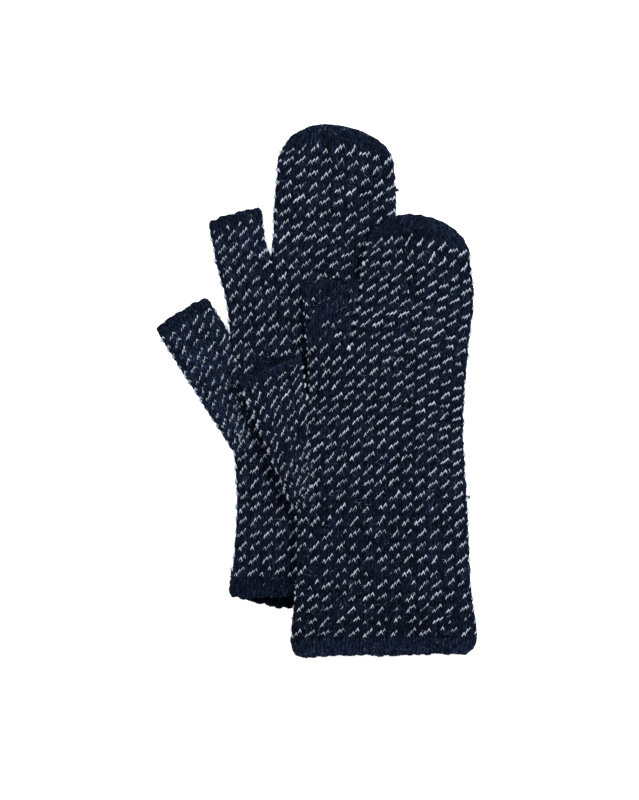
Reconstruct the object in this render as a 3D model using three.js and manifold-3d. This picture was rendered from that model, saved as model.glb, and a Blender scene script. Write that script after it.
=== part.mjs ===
// A pair of knitted mittens lying flat, one over the other, as a three.js scene graph.
//
// Millimetres. +Z is up, +Y runs from the cuffs to the fingertips, and both thumbs point to -X.
// The origin is on the floor, under the middle of the pair. Each mitten is a flattened knitted tube
// with an open thumb, an open index finger and a closed pouch for the other three fingers. The lower
// mitten lies flat on the floor. The upper one lies on it and drapes down to the floor past its edge.
import * as THREE from 'three';
import { mergeVertices } from 'three/addons/utils/BufferGeometryUtils.js';
import Module from 'manifold-3d';

const wasm = await Module();
wasm.setup();

// ---- Driving dimensions shared by both mittens ----
const THICKNESS = 9;         // the flattened tube, outside to outside
const WALL = 2;              // one layer of the knitted fabric
const SIDE_FOLD = 7;         // how far the rounded side fold reaches in from the edge
const GAP = 0.3;             // clearance between neighbouring pieces
const HEM_HEIGHT = 10.5;     // plain hem round the cuff
const EDGE_HEIGHT = 5.5;     // plain band round the thumb and index openings
const TOE_HEIGHT = 11;       // plain end of the pouch
const FOLD_ABOVE_FORK = 36;  // from the finger fork to the line where the pouch folds
const MOUTH_OVERRUN = 4;     // how far a cavity runs past its open end
const CUT_REACH = 60;        // how far a cutting prism runs past what it cuts
const SLIVER_VOLUME = 5;     // cubic millimetres; anything smaller left by a cut is dropped
const YARN_RADIUS = 0.75;    // a yarn end that sticks out of a side fold

// ---- Colours of the yarns ----
const PATTERNED = { color: 0x2b3547, roughness: 0.95, metalness: 0 };
const PLAIN = { color: 0x161f30, roughness: 0.95, metalness: 0 };

// Each outline row is [y, left x, right x], from the cuff up to where the round pouch end starts.
// A finger has three cross lines, each [left x, left y, right x, right y]: its open tip, the line
// level with its crotch, and its root inside the hand.
const lower = {
  name: 'lower',
  outline: [
    [-128, -54, 57],
    [-100, -50.2, 53],
    [-66, -48.6, 48],
    [-30, -50.5, 44.5],
    [20, -53, 43.5],
    [66, -52, 45],
    [88, -28, 47.2],
    [112, -25.8, 48.3],
    [136, -24.4, 47.2],
  ],
  forkHeight: 83,
  toeTop: 162.5,
  thumb: { tip: [-97.5, 38, -67.2, 56], crotch: [-85.4, 17.6, -54.2, 36.5], root: [-51, -40, -35, -32] },
  index: { tip: [-66, 103.2, -34.8, 111.8], crotch: [-60.6, 73.5, -28.2, 82.6], root: [-52, 38, -22, 44] },
  yarnEnd: { from: [49.3, 121.6], to: [52, 124.2] },
  flatSteps: 3,
  drape: () => 0,
};

// The upper mitten stands this high where it lies on the lower one, and comes down to the floor
// between these two places beyond the lower mitten's right edge and its cuff.
const UPPER_LIFT = THICKNESS + 0.6;
const RIGHT_DROP = { from: 59, to: 94 };
const CUFF_DROP = { from: -131, to: -158 };

const upper = {
  name: 'upper',
  outline: [
    [-162.5, -15, 96.2],
    [-143, -15.8, 97.5],
    [-115, -12.9, 94.3],
    [-67, -12.2, 91],
    [-30, -9, 88.8],
    [-5, -5.6, 90.8],
    [17, -5.6, 93],
    [31, 20.9, 94.2],
    [56, 25.6, 95.7],
    [81, 29, 93.8],
  ],
  forkHeight: 29,
  toeTop: 107.7,
  thumb: { tip: [-48.2, 7, -8.8, 22.2], crotch: [-38, -18.2, -6.2, -5.6], root: [-14, -74, 4, -66] },
  index: { tip: [-8.8, 63.2, 24.6, 66.8], crotch: [-6.9, 25.8, 20, 28.7], root: [-3, -12, 22, -9] },
  yarnEnd: { from: [92.2, -66.4], to: [95.2, -64.2] },
  flatSteps: 8,
  drape: (x, y) => {
    const right = THREE.MathUtils.smoothstep(x, RIGHT_DROP.from, RIGHT_DROP.to);
    const cuff = THREE.MathUtils.smoothstep(-y, -CUFF_DROP.from, -CUFF_DROP.to);
    return UPPER_LIFT * (1 - right) * (1 - cuff);
  },
};

const OUTLINE_STEPS = 16;  // cross sections along the hand and the straight part of the pouch
const TOE_STEPS = 6;       // cross sections round the pouch's end
const FOLD_STEPS = 4;      // facets round each side fold

// ---- Flattened tubes ----

// One cross section of a flattened tube: its left and right edge points in plan, and how full it is
// from 0, flat shut, to 1, as thick as the mitten.
function crossSection(left, right, fullness = 1) {
  return { left, right, fullness };
}

// The ring of points round a cross section, as [distance from its middle, height] pairs.
function ringProfile(halfWidth, halfThickness, fold, flatSteps) {
  const reach = Math.min(fold, halfWidth * 0.95);
  const flat = halfWidth - reach;
  const ring = [];
  for (const side of [1, -1]) {
    for (let i = 0; i <= FOLD_STEPS; i++) {
      const angle = side * (-Math.PI / 2 + (Math.PI * i) / FOLD_STEPS);
      ring.push([side * (flat + reach * Math.cos(angle)), halfThickness * Math.sin(angle)]);
    }
    for (let i = 1; i < flatSteps; i++) {
      ring.push([side * flat * (1 - (2 * i) / flatSteps), side * halfThickness]);
    }
  }
  return ring;
}

// A closed solid lofted through cross sections, with its outer skin moved in by inset.
function flatTube(sections, inset, flatSteps, drape) {
  const rings = sections.map(({ left, right, fullness }) => {
    const middle = left.clone().add(right).multiplyScalar(0.5);
    const across = right.clone().sub(left);
    const halfWidth = across.length() / 2 - inset;
    across.normalize();
    const halfThickness = (THICKNESS / 2 - inset) * fullness;
    const profile = ringProfile(halfWidth, halfThickness, SIDE_FOLD - inset, flatSteps);
    return profile.map(([u, height]) => {
      const x = middle.x + across.x * u;
      const y = middle.y + across.y * u;
      return [x, y, THICKNESS / 2 + height + drape(x, y)];
    });
  });
  const count = rings[0].length;
  const positions = rings.flat(2);
  const indices = [];
  for (let r = 0; r + 1 < rings.length; r++) {
    for (let i = 0; i < count; i++) {
      const a = r * count + i;
      const b = r * count + ((i + 1) % count);
      indices.push(a, b + count, b, a, a + count, b + count);
    }
  }
  for (let i = 1; i + 1 < count; i++) {
    const last = (rings.length - 1) * count;
    indices.push(0, i, i + 1, last, last + i + 1, last + i);
  }
  const geometry = new THREE.BufferGeometry();
  geometry.setAttribute('position', new THREE.Float32BufferAttribute(positions, 3));
  geometry.setIndex(indices);
  return toManifold(geometry);
}

// ---- Between three.js geometry and manifold solids ----

function toManifold(geometry) {
  const bare = geometry.clone();
  bare.deleteAttribute('normal');
  bare.deleteAttribute('uv');
  const merged = mergeVertices(bare, 1e-4);
  const mesh = new wasm.Mesh({
    numProp: 3,
    vertProperties: new Float32Array(merged.attributes.position.array),
    triVerts: new Uint32Array(merged.index.array),
  });
  mesh.merge();
  return new wasm.Manifold(mesh);
}

function toGeometry(solid) {
  const { vertProperties, triVerts } = solid.getMesh();
  const geometry = new THREE.BufferGeometry();
  geometry.setAttribute('position', new THREE.Float32BufferAttribute(vertProperties, 3));
  geometry.setIndex(Array.from(triVerts));
  geometry.computeVertexNormals();
  return geometry;
}

// ---- Cutting a mitten into its pieces ----

// A convex plan outline moved outwards by distance; its corners run anticlockwise.
function grownOutline(corners, distance) {
  const count = corners.length;
  return corners.map((corner, i) => {
    const before = corner.clone().sub(corners[(i + count - 1) % count]).normalize();
    const after = corners[(i + 1) % count].clone().sub(corner).normalize();
    const outwardBefore = new THREE.Vector2(before.y, -before.x);
    const outwardAfter = new THREE.Vector2(after.y, -after.x);
    const diagonal = outwardBefore.clone().add(outwardAfter);
    const scale = distance / (1 + outwardBefore.dot(outwardAfter));
    return corner.clone().addScaledVector(diagonal, scale);
  });
}

function prism(corners) {
  const geometry = new THREE.ExtrudeGeometry(new THREE.Shape(corners), {
    depth: 2 * CUT_REACH,
    bevelEnabled: false,
  });
  geometry.translate(0, 0, -CUT_REACH);
  return toManifold(geometry);
}

function biggestPiece(solid) {
  const pieces = solid.decompose().filter((piece) => piece.volume() > SLIVER_VOLUME);
  return pieces.sort((a, b) => b.volume() - a.volume())[0];
}

// Cuts the piece inside a plan outline out of a solid, leaving a gap, and returns it and the rest.
function carve(solid, corners) {
  return {
    piece: biggestPiece(solid.intersect(prism(grownOutline(corners, -GAP / 2)))),
    rest: biggestPiece(solid.subtract(prism(grownOutline(corners, GAP / 2)))),
  };
}

// ---- One mitten ----

const point = (x, y) => new THREE.Vector2(x, y);

// Cross sections of the hand and pouch; overrun lengthens the open end and shorten trims the toe.
function handSections({ outline, toeTop }, overrun, shorten) {
  const leftEdge = new THREE.SplineCurve(outline.map(([y, left]) => point(left, y)));
  const rightEdge = new THREE.SplineCurve(outline.map(([y, , right]) => point(right, y)));
  const sections = [];
  for (let i = 0; i <= OUTLINE_STEPS; i++) {
    const along = i / OUTLINE_STEPS;
    sections.push(crossSection(leftEdge.getPoint(along), rightEdge.getPoint(along)));
  }
  sections[0].left.y -= overrun;
  sections[0].right.y -= overrun;
  const [toeStart, toeLeft, toeRight] = outline.at(-1);
  const middle = (toeLeft + toeRight) / 2;
  const halfWidth = (toeRight - toeLeft) / 2;
  for (let i = 1; i <= TOE_STEPS; i++) {
    const angle = (Math.PI / 2) * (i / (TOE_STEPS + 0.35));
    const y = toeStart + (toeTop - shorten - toeStart) * Math.sin(angle);
    const reach = halfWidth * Math.cos(angle);
    const fullness = Math.min(1, 1.3 * Math.sqrt(Math.cos(angle)));
    sections.push(crossSection(point(middle - reach, y), point(middle + reach, y), fullness));
  }
  return sections;
}

// Cross sections of a finger from its root in the hand to its tip, which overrun makes longer.
function fingerSections({ tip, crotch, root }, overrun) {
  const left = [point(root[0], root[1]), point(crotch[0], crotch[1]), point(tip[0], tip[1])];
  const right = [point(root[2], root[3]), point(crotch[2], crotch[3]), point(tip[2], tip[3])];
  const outward = point(tip[1] - tip[3], tip[2] - tip[0]).normalize();
  left[2].addScaledVector(outward, overrun);
  right[2].addScaledVector(outward, overrun);
  const sections = [];
  for (const half of [0, 1]) {
    for (const along of half === 0 ? [0, 0.35, 0.7] : [0, 0.5, 1]) {
      sections.push(crossSection(
        left[half].clone().lerp(left[half + 1], along),
        right[half].clone().lerp(right[half + 1], along),
      ));
    }
  }
  return sections;
}

// The whole mitten as one hollow shell, open at the cuff, the thumb and the index finger.
function mittenShell(mitten) {
  const { thumb, index, flatSteps, drape } = mitten;
  const skin = (inset) => {
    const overrun = inset > 0 ? MOUTH_OVERRUN : 0;
    const hand = flatTube(handSections(mitten, overrun, inset), inset, flatSteps, drape);
    const fingers = [thumb, index].map((finger) =>
      flatTube(fingerSections(finger, overrun), inset, 3, drape));
    return hand.add(fingers[0]).add(fingers[1]);
  };
  return skin(0).subtract(skin(WALL));
}

// The plan outline of a finger beyond a cross line, [left x, left y, right x, right y].
function fingerOutline([leftX, leftY, rightX, rightY], finger) {
  const left = point(leftX, leftY);
  const right = point(rightX, rightY);
  const outward = point(leftY - rightY, rightX - leftX).normalize();
  const alongRight = point(finger.tip[2], finger.tip[3]).sub(right).normalize();
  const across = right.clone().sub(left).normalize();
  return [
    left.clone().addScaledVector(across, -CUT_REACH / 3),
    right,
    right.clone().addScaledVector(alongRight, CUT_REACH),
    left.clone().addScaledVector(across, -CUT_REACH / 3).addScaledVector(outward, CUT_REACH),
  ];
}

// The cross line that lies a plain band's height below a finger's tip.
function bandLine({ tip, crotch }) {
  const leftLength = Math.hypot(tip[0] - crotch[0], tip[1] - crotch[1]);
  const rightLength = Math.hypot(tip[2] - crotch[2], tip[3] - crotch[3]);
  const left = EDGE_HEIGHT / leftLength;
  const right = EDGE_HEIGHT / rightLength;
  return [
    THREE.MathUtils.lerp(tip[0], crotch[0], left),
    THREE.MathUtils.lerp(tip[1], crotch[1], left),
    THREE.MathUtils.lerp(tip[2], crotch[2], right) + 2 * GAP,
    THREE.MathUtils.lerp(tip[3], crotch[3], right),
  ];
}

function rectangle(left, bottom, right, top) {
  return [point(left, bottom), point(right, bottom), point(right, top), point(left, top)];
}

function knittedPiece(name, solid, finish) {
  const mesh = new THREE.Mesh(toGeometry(solid), new THREE.MeshStandardMaterial(finish));
  mesh.name = name;
  return mesh;
}

// A short curled end of yarn that stands out of the side fold, from one plan point to another.
function yarnEnd({ from, to }, drape) {
  const height = THICKNESS / 2 + drape(from[0], from[1]);
  const bow = new THREE.Vector3((from[0] + to[0]) / 2 + 0.6, (from[1] + to[1]) / 2 - 0.6, height + 0.8);
  const path = new THREE.QuadraticBezierCurve3(
    new THREE.Vector3(from[0], from[1], height),
    bow,
    new THREE.Vector3(to[0], to[1], height + 0.5),
  );
  const section = new THREE.Shape();
  section.absarc(0, 0, YARN_RADIUS, 0, 2 * Math.PI);
  return toManifold(new THREE.ExtrudeGeometry(section, {
    extrudePath: path,
    steps: 5,
    curveSegments: 4,
    bevelEnabled: false,
  }));
}

function buildMitten(mitten) {
  const { name, outline, toeTop, forkHeight, thumb, index } = mitten;
  const cuffY = outline[0][0];
  const left = -2 * CUT_REACH;
  const right = 2 * CUT_REACH;
  const hem = carve(mittenShell(mitten), rectangle(left, cuffY - CUT_REACH, right, cuffY + HEM_HEIGHT));
  const thumbCut = carve(hem.rest, fingerOutline(thumb.crotch, thumb));
  const thumbBand = carve(thumbCut.piece, fingerOutline(bandLine(thumb), thumb));
  const indexCut = carve(thumbCut.rest, fingerOutline(index.crotch, index));
  const indexBand = carve(indexCut.piece, fingerOutline(bandLine(index), index));
  const pouchLeft = index.crotch[2];
  const pouch = carve(indexCut.rest, [
    point(pouchLeft, forkHeight),
    point(right, forkHeight),
    point(right, toeTop + CUT_REACH),
    point(pouchLeft, toeTop + CUT_REACH),
  ]);
  const foldY = forkHeight + FOLD_ABOVE_FORK;
  const folding = carve(pouch.piece, rectangle(left, foldY, right, toeTop + CUT_REACH));
  const toe = carve(folding.piece, rectangle(left, toeTop - TOE_HEIGHT, right, toeTop + CUT_REACH));

  const group = new THREE.Group();
  group.add(
    knittedPiece(`${name}_cuff_hem`, hem.piece, PLAIN),
    knittedPiece(`${name}_hand`, pouch.rest, PATTERNED),
    knittedPiece(`${name}_thumb`, thumbBand.rest, PATTERNED),
    knittedPiece(`${name}_thumb_edge`, thumbBand.piece, PLAIN),
    knittedPiece(`${name}_index`, indexBand.rest, PATTERNED),
    knittedPiece(`${name}_index_edge`, indexBand.piece, PLAIN),
    knittedPiece(`${name}_pouch_base`, folding.rest, PATTERNED),
    knittedPiece(`${name}_pouch`, toe.rest, PATTERNED),
    knittedPiece(`${name}_pouch_toe`, toe.piece, PLAIN),
    knittedPiece(`${name}_yarn_end`, yarnEnd(mitten.yarnEnd, mitten.drape), PLAIN),
  );
  return group;
}

const group = new THREE.Group();
group.add(buildMitten(lower), buildMitten(upper));

export default group;
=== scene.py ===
"""A pair of knitted mittens lying flat: the looks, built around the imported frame.

Every surface is real knitting relief. Each tube of a mitten is a grid of wales (the columns of
stitches) and courses (the rows), laid over the same flattened shape as its CAD solid. The shapes are
worked out in millimetres and stored in metres.
"""
import math
import bpy
import numpy as np
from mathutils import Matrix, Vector


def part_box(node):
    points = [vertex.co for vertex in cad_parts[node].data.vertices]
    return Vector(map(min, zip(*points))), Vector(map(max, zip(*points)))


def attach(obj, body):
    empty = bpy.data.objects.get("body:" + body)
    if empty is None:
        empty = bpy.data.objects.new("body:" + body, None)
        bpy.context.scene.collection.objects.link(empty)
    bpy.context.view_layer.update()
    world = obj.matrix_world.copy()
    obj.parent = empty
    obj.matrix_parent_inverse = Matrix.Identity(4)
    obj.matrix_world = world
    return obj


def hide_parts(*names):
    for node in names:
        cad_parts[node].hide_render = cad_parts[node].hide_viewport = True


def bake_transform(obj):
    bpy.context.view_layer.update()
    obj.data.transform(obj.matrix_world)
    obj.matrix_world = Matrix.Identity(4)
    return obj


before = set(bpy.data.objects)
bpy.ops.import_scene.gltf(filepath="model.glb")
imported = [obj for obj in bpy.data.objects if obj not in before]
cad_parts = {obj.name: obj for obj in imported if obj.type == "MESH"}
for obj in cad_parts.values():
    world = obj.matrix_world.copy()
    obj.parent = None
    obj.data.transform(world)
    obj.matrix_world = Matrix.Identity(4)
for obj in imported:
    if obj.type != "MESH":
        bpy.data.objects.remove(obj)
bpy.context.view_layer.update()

# ---- Driving dimensions of both mittens, in millimetres as in the CAD part ----
THICKNESS = 9.0          # the flattened tube, outside to outside
SIDE_FOLD = 7.0          # how far the rounded side fold reaches in from the edge
RIM_RADIUS = 1.0         # half the thickness of one layer, where it turns in at an opening
LINING_DEPTH = 20.0      # how far the inside of an opening is knitted
UPPER_LIFT = THICKNESS + 0.6  # the upper mitten lies this high, one mitten and a small gap
RIGHT_DROP = (59.0, 94.0)     # from where to where the upper mitten's right side comes down
CUFF_DROP = (131.0, 158.0)    # and its cuff, below the origin
FOLD_ABOVE_FORK = 36.0   # the pouch's fold line above the fork of the fingers
TOE_CORNER = math.radians(50)  # how far round from its apex the toe's last course ends
VALLEY = (16, 1)         # from where to where below the fork the valley beside the index finger deepens
VALLEY_START = (90, 30)  # and where its shallow beginning does
VALLEY_START_DEPTH = 0.12
HEM_ROUNDING = 7         # how far up the hem its rounded corners reach
HEM_WAVES = 4            # how far up the waves of its edge do
HEM_SLIP = 34            # and how far up its underside slips out
TIP_REACH = 5            # how far down from its tip a finger's opening is shaped
TIP_CORNER = 2.0
TIP_THINNING = 0.12      # how much thinner the finger is there
TIP_ARCH = 0.6           # how far the middle of a finger's courses arches past their ends
RAISED_OVER = 30         # the length over which a finger's left edge comes to be raised or thinned

# ---- The knitting ----
HAND_WALES = 108
THUMB_WALES = 40
CROTCH_WALES = 2         # wales picked up on each face between the pouch and the index finger
JOIN_COURSES = 7         # over which the pouch and the finger grow out of the hand
INDEX_COURSE = 1.45      # height of a course on the index finger
THUMB_COURSE = 1.28      # and on the thumb
COLUMN_SPOTS = np.array([0.0, 0.13, 0.27, 0.41, 0.61, 0.81])   # mesh columns in a wale, right to left
COLUMN_CLIMB = np.array([0.0, 0.33, 0.67, 1.0, 0.67, 0.33])    # how far up its leg each one is
COLUMN_HEIGHT = np.array([0.0, 0.72, 0.92, 0.62, 1.0, 0.75])   # how high the yarn stands there
COLUMNS = len(COLUMN_SPOTS)
RIGHT_LEG_COLUMNS = 3    # the first of them are the right leg, the others the left one
ROWS = 4                 # mesh rows in one course
LEG_RISE = 1.38          # how many courses a leg climbs from the wale's edge to its middle
RELIEF = 1.0             # depth of the grooves between wales
LEG_GROOVE = 0.25        # how much of the height is left between one leg and the next
FULL_WALE = 1.7          # a wale at least this wide has its full relief
SLOPE_STEP = 0.25        # wales and courses to each side when the slope of a surface is taken
OPENING_CLIMB = 0.3      # how much of their climb the legs keep at the edge of an opening
FLECK_WALES = 4          # the flecks repeat over this many wales
FLECK_COURSES = 5        # and this many courses
FLECK_STITCHES = 3       # stitches in one fleck, each a wale to the right and a course up
LEFT_LEG = (1.2, 0.45)   # how off-white a fleck's left leg is, and how much of that may be missing
RIGHT_LEG = (1.15, 0.7)  # and a right leg
DULL_SHARE = 0.05        # share of the off-white stitches that are half hidden
STOUT_SHARE = 0.24       # share of them that are thick
FLECK_BULGE = 0.4        # how far an off-white stitch stands out of the fabric
SIDE_BULGE = 1.6         # how much further it does on the side folds
SIDE_SPREAD = 0.8        # how much broader the off-white yarn shows there
TOE_BAND = 8             # plain courses at the toe
FINGER_BAND = 4          # plain courses at the tip of the thumb and the index finger
FLOOR_GAP = 0.02         # the stitches stay this far above the floor
STITCH_LEAN = 0.06       # how far a single stitch leans to a side, in wales
DRIFT_WAVES = 7          # waves that a slow wandering is made of
WANDER = (0.20, 0.30)    # how far the grid wanders, in wales and in courses
UNEVEN = 0.22            # how far the fabric's face wanders in and out
LEG_FATNESS = (0.92, 0.10)    # mean and spread over the stitches
WALE_TONE = 0.03         # spread of the navy's brightness from wale to wale
PATCH_TONE = 0.08        # over patches
LEG_TONE = 0.48          # and from leg to leg
HEM_INSIDE_SHADE = 0.3         # painted shade: how bright the navy inside the cuff is, next to the outside
BAND_INSIDE_SHADE = 0.55       # and inside a finger, also painted shade
BAND_LIGHT = 1.25        # how bright the plain bands are
TOE_LIGHT = 1.15         # and the toes, next to their mitten
FIBRE_AREA = 4.5         # square millimetres of fabric for each stray fibre
FIBRE_LENGTH = (1.0, 3.6)
FIBRE_LIFT = (0.25, 0.9)
FIBRE_RADIUS = 0.05
FIBRE_STEPS = 5
SEED = 11

# ---- The two mittens ----
# An outline's rows are (y, left x, right x), and toe is the pouch's apex, (x, y). A finger's root, crotch
# and tip are lines across it, as (left x, left y, right x, right y). gape is how far its top face ends
# short of the tip's line and its back face past it. Its left edge stands raised by some millimetres, or is
# thinned by a fraction.
# hand_top is the y of the hand's last course at its left and at its right, and how far its middle arches
# past them. toe_tilt is how much lower the toe begins at its right, and hem_tilt how much higher the hem
# begins there. hem_corner is the radius of the hem's left and right corners, and under_slip how far the
# underside slips out below the top, at some values of x. split is the wale between the pouch and the index
# finger, and fork_fold how far their side folds reach in there. fleck_start shifts the pattern by (wales,
# courses), and thumb_fleck_start shifts the thumb's by courses. The faint values are shares of extra dull
# flecks, and the light values scale the brightness of the navy.
# Scaling the navy by the light values is painted light: the lower mitten, most of all its thumb and index
# finger, comes out brighter.
LOWER = {
    "name": "lower",
    "yarn_end_body": "lower_pouch",
    "yarn_end_reach": 0.33,
    "hand_outline": [
        (-125.4, -54.3, 57.0), (-112, -53.0, 55.0), (-100, -51.0, 53.0), (-66, -49.4, 48.0),
        (-30, -51.2, 44.5), (20, -53.6, 43.5), (46, -54.6, 44.2), (60, -57.2, 44.8), (73.5, -60.6, 45.6),
        (84, -63.0, 46.6),
    ],
    "pouch_outline": [
        (70, -29.2, 45.5), (86, -27.4, 47.0), (112, -26.5, 48.7), (136, -24.6, 47.6),
    ],
    "toe": (4.0, 163.6),
    "hand_top": (73.5, 72.5, 7.0),
    "toe_tilt": 10.0,
    "hem_tilt": 0.0,
    "hem_corner": (4.5, 3.0),
    "hem_courses": 7,
    "split": 37,
    "thumb": {"root": (-49.8, -40, -33, -32), "crotch": (-86.4, 17.0, -54.2, 36.5),
              "tip": (-99.0, 37.4, -67.0, 57.2), "gape": 0.9, "raised": 0.0, "thinned": 0.0,
              "light": 1.7},
    "index": {"crotch": (-60.8, 73.5, -29.4, 79.0), "tip": (-66.8, 102.5, -34.2, 111.9),
              "gape": 0.9, "raised": 0.0, "thinned": 0.0, "light": 1.4},
    "under_slip": ((-49, -43, -34, -26, -20, 50), (0, 2.0, 4.1, 6.3, 7.2, 6.0)),
    "hand_courses": 131,
    "pouch_courses": 35,
    "toe_courses": 18,
    "lift": 0.0,
    "fork_fold": SIDE_FOLD,
    "faint_index": 0.0,
    "faint_thumb": 0.08,
    "faint_cuff": 0.0,
    "light": 1.1,
    "hem_light": 1.0,
    "fleck_start": (1, 8),
    "thumb_fleck_start": 0,
}
UPPER = {
    "name": "upper",
    "yarn_end_body": "upper_hand",
    "yarn_end_reach": 0.5,
    "hand_outline": [
        (-161.7, -15.8, 97.6), (-154, -16.4, 98.0), (-143, -16.0, 97.4), (-115, -12.9, 94.3),
        (-67, -12.4, 92.0), (-30, -9.2, 89.8), (-5, -5.4, 90.4), (10, -5.0, 91.5), (25.8, -6.0, 93.0),
        (36, -6.9, 93.6),
    ],
    "pouch_outline": [
        (14, 19.0, 91.8), (31, 20.9, 93.4), (56, 25.0, 96.2), (81, 29.0, 93.7),
    ],
    "toe": (56.5, 107.9),
    "hand_top": (26.0, 16.5, 6.8),
    "toe_tilt": 11.0,
    "hem_tilt": 1.8,
    "hem_corner": (5.5, 8.5),
    "hem_courses": 6,
    "split": 39,
    "thumb": {"root": (-14, -74, 4, -66), "crotch": (-38, -18.2, -6.6, 0.5),
              "tip": (-48.2, 7, -9.6, 22.4), "gape": 3.4, "raised": 2.4, "thinned": 0.0,
              "light": 1.1},
    "index": {"crotch": (-6.4, 26.0, 20.4, 28.8), "tip": (-8.8, 65.8, 26.4, 66.8),
              "gape": 0.9, "raised": 0.0, "thinned": 0.6, "light": 1.2},
    "under_slip": ((-20, 100), (0, 0)),
    "hand_courses": 125,
    "pouch_courses": 36,
    "toe_courses": 18,
    "lift": UPPER_LIFT,
    "fork_fold": 3.0,
    "faint_index": 0.6,
    "faint_thumb": 0.08,
    "faint_cuff": 0.2,
    "light": 1.0,
    "hem_light": 1.6,
    "fleck_start": (0, 7),
    "thumb_fleck_start": 4,
}


def smoothstep(x, start, end):
    """From 0 at start to 1 at end, level at both."""
    t = np.clip((x - start) / (end - start), 0, 1)
    return t * t * (3 - 2 * t)


def drape(x, y, lift):
    """How high the underside of a mitten stands at a plan point."""
    return lift * (1 - smoothstep(x, *RIGHT_DROP)) * (1 - smoothstep(-y, *CUFF_DROP))


def ripple(x, y):
    """Gentle unevenness of the top of soft fabric."""
    broad = np.sin(x * 0.11 + 0.9 * np.sin(y * 0.045) + 0.4) * np.sin(y * 0.083 + 0.7 * np.sin(x * 0.06))
    fine = np.sin(x * 0.23 - y * 0.14 + 1.3) + np.sin(x * 0.17 + y * 0.21 + 2.2)
    return 0.34 * broad + 0.12 * fine - 0.8


def unit(vectors):
    return vectors / np.maximum(np.linalg.norm(vectors, axis=-1, keepdims=True), 1e-6)


def corner_cut(inward, radius):
    """How far a square corner is rounded off at a distance inward from the side."""
    short = np.clip(radius - inward, 0, radius)
    return radius - np.sqrt(radius**2 - short**2)


def spline(points, samples=40):
    """A Catmull-Rom curve through points, as a dense array of points."""
    p = np.array(points, float)
    p = np.vstack([2 * p[0] - p[1], p, 2 * p[-1] - p[-2]])
    t = np.linspace(0, 1, samples, endpoint=False)[:, None]
    pieces = []
    for a, b, c, d in zip(p[:-3], p[1:-2], p[2:-1], p[3:]):
        pieces.append(0.5 * (2 * b + (c - a) * t + (2 * a - 5 * b + 4 * c - d) * t**2
                             + (3 * b - a - 3 * c + d) * t**3))
    return np.vstack(pieces + [p[-2][None]])


# ---- The shape of a flattened tube ----

FOLD_ANGLES = np.linspace(0, math.pi / 2, 64)


def fold_runs(reach):
    """How far round a quarter-ellipse fold each of its angles is."""
    steps = np.hypot(np.diff(reach * np.cos(FOLD_ANGLES)), np.diff(THICKNESS / 2 * np.sin(FOLD_ANGLES)))
    return np.concatenate([[0], np.cumsum(steps)])


def around(over, side, half_width, half_thickness, reaches, inset):
    """The point of a ring at a fraction over of its face, from the right edge to the left one."""
    folds = []
    for reach in reaches:
        runs = fold_runs(reach)
        tight = (reach - inset) / reach
        folds.append((reach * tight, runs, runs[-1] * tight))
    (right, _, right_arc), (left, _, left_arc) = folds
    length = 2 * half_width - right - left + right_arc + left_arc
    run = over * length
    across = half_width - right - (run - right_arc)
    height = np.ones_like(across)
    for (reach, runs, arc), from_edge, way in ((folds[0], run, 1), (folds[1], length - run, -1)):
        angle = np.interp(np.clip(from_edge / arc, 0, 1) * runs[-1], runs, FOLD_ANGLES)
        inside = from_edge < arc
        across = np.where(inside, way * (half_width - reach + reach * np.cos(angle)), across)
        height = np.where(inside, np.sin(angle), height)
    return across, side * half_thickness * height


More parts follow.
